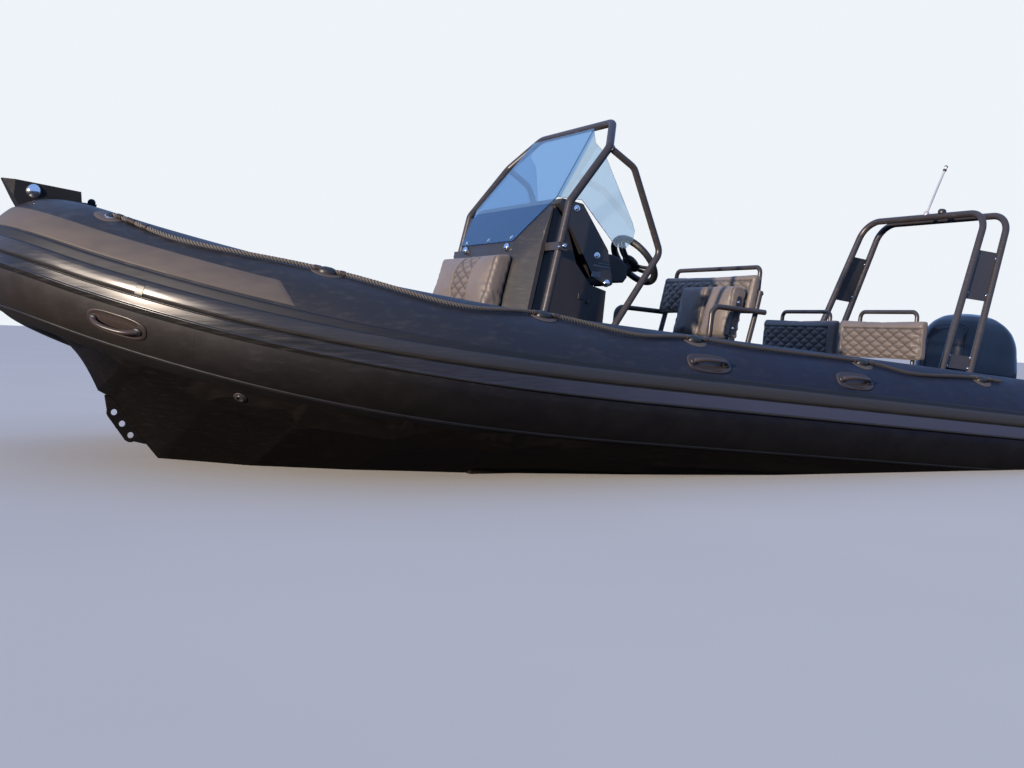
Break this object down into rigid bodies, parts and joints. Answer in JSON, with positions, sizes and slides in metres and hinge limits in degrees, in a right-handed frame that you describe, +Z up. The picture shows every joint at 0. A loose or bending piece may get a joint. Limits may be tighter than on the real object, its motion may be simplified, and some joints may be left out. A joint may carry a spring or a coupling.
{
  "type": "rigid inflatable boat",
  "caption": "Open 6 m rigid inflatable boat afloat: aluminium deep-V hull, grey collar, console with windscreen, stern arch and outboard",
  "frame": {"origin": "where the waterline meets the centreline at the transom's aft face", "axes": "+X forward, +Y to port, +Z up, afloat with the bow trimmed up 4.2 degrees"},
  "size_m": [6.1199, 2.5878, 2.6668],
  "materials": {
    "powder_coated_hull": "satin",
    "deck_paint": "matte",
    "collar_fabric": "satin",
    "strake_rubber": "satin",
    "wear_patch_fabric": "matte",
    "rope": "matte",
    "polished_steel": "polished",
    "graphite_paint": "satin",
    "console_paint": "satin",
    "upholstery": "satin",
    "tinted_glass": "clear",
    "black_plastic": "matte",
    "cowl_paint": "gloss",
    "engine_paint": "gloss",
    "propeller_metal": "satin"
  },
  "bodies": {
    "boat": {"hull": "powder_coated_hull", "deck_sole": "deck_paint", "transom_board": "powder_coated_hull", "stern_eyes": "powder_coated_hull", "bow_eye_plate": "powder_coated_hull", "tube_collar": "collar_fabric", "rub_strake": "strake_rubber", "wear_patches": "wear_patch_fabric", "lifelines": "rope", "rope_patches": "collar_fabric", "tube_handles": "black_plastic", "bow_step": "powder_coated_hull", "bow_pin": "polished_steel", "bow_locker": "deck_paint", "console_body": "console_paint", "console_cowling": "console_paint", "dash_pod": "console_paint", "front_pad": "upholstery", "console_seat": "console_paint", "windscreen": "tinted_glass", "console_hoop": "graphite_paint", "grab_rails": "graphite_paint", "frame_clamps": "graphite_paint", "steering_hub": "black_plastic", "throttle": "black_plastic", "helm_base": "console_paint", "helm_backrest": "upholstery", "helm_frame": "graphite_paint", "bench": "console_paint", "stern_backrest_port": "upholstery", "stern_backrest_starboard": "upholstery", "stern_rails": "graphite_paint", "stern_arch": "graphite_paint", "arch_panels": "graphite_paint", "stern_light": "black_plastic", "aerial_dome": "black_plastic", "clamp_bracket": "engine_paint"},
    "bow_lid": {"bow_locker_lid": "deck_paint"},
    "console_lid": {"console_seat_lid": "console_paint", "console_seat_cushion": "upholstery"},
    "squab_port_body": {"squab_port": "upholstery", "squab_bracket_port": "graphite_paint"},
    "squab_starboard_body": {"squab_starboard": "upholstery", "squab_bracket_starboard": "graphite_paint"},
    "stern_lid": {"bench_lid": "console_paint", "bench_cushion": "upholstery"},
    "engine_tilt": {"swivel_bracket": "engine_paint"},
    "engine": {"engine_leg": "engine_paint", "gearcase": "engine_paint", "engine_cowl": "cowl_paint", "powerhead": "black_plastic"},
    "screw": {"propeller": "propeller_metal"},
    "wheel": {"steering_wheel": "black_plastic"}
  },
  "joints": [
    {"name": "bow_lid_hinge", "type": "hinge", "parent": "boat", "child": "bow_lid", "pos_m": [4.80696, 0, 0.57259], "axis": [0, 1, 0], "range_deg": [0, 75]},
    {"name": "console_lid_hinge", "type": "hinge", "parent": "boat", "child": "console_lid", "pos_m": [3.88724, 0, 0.56251], "axis": [0, 1, 0], "range_deg": [0, 80]},
    {"name": "squab_port_hinge", "type": "hinge", "parent": "boat", "child": "squab_port_body", "pos_m": [2.04345, 0.26, 0.60127], "axis": [0, 1, 0], "range_deg": [0, 90]},
    {"name": "squab_starboard_hinge", "type": "hinge", "parent": "boat", "child": "squab_starboard_body", "pos_m": [2.04345, 0.03, 0.60127], "axis": [0, 1, 0], "range_deg": [0, 90]},
    {"name": "stern_lid_hinge", "type": "hinge", "parent": "boat", "child": "stern_lid", "pos_m": [0.98143, 0, 0.3441], "axis": [0, -1, 0], "range_deg": [0, 50]},
    {"name": "engine_tilt_hinge", "type": "hinge", "parent": "boat", "child": "engine_tilt", "pos_m": [0.00178, 0, 0.18061], "axis": [0, 1, 0], "range_deg": [0, 65]},
    {"name": "engine_steer_hinge", "type": "hinge", "parent": "engine_tilt", "child": "engine", "pos_m": [-0.17554, 0, 0.13751], "axis": [-0.0732, 0, 0.9973], "range_deg": [-30, 30]},
    {"name": "screw_spin", "type": "hinge", "parent": "engine", "child": "screw", "pos_m": [-0.46477, 0, -0.77111], "axis": [0.9973, 0, 0.0732], "continuous": true},
    {"name": "wheel_spin", "type": "hinge", "parent": "boat", "child": "wheel", "pos_m": [2.5762, 0.25, 0.97931], "axis": [-0.7683, 0, 0.6401], "range_deg": [-720, 720]}
  ],
  "couplings": [
    {"joint": "wheel_spin", "follows": "engine_steer_hinge", "ratio": -24}
  ]
}
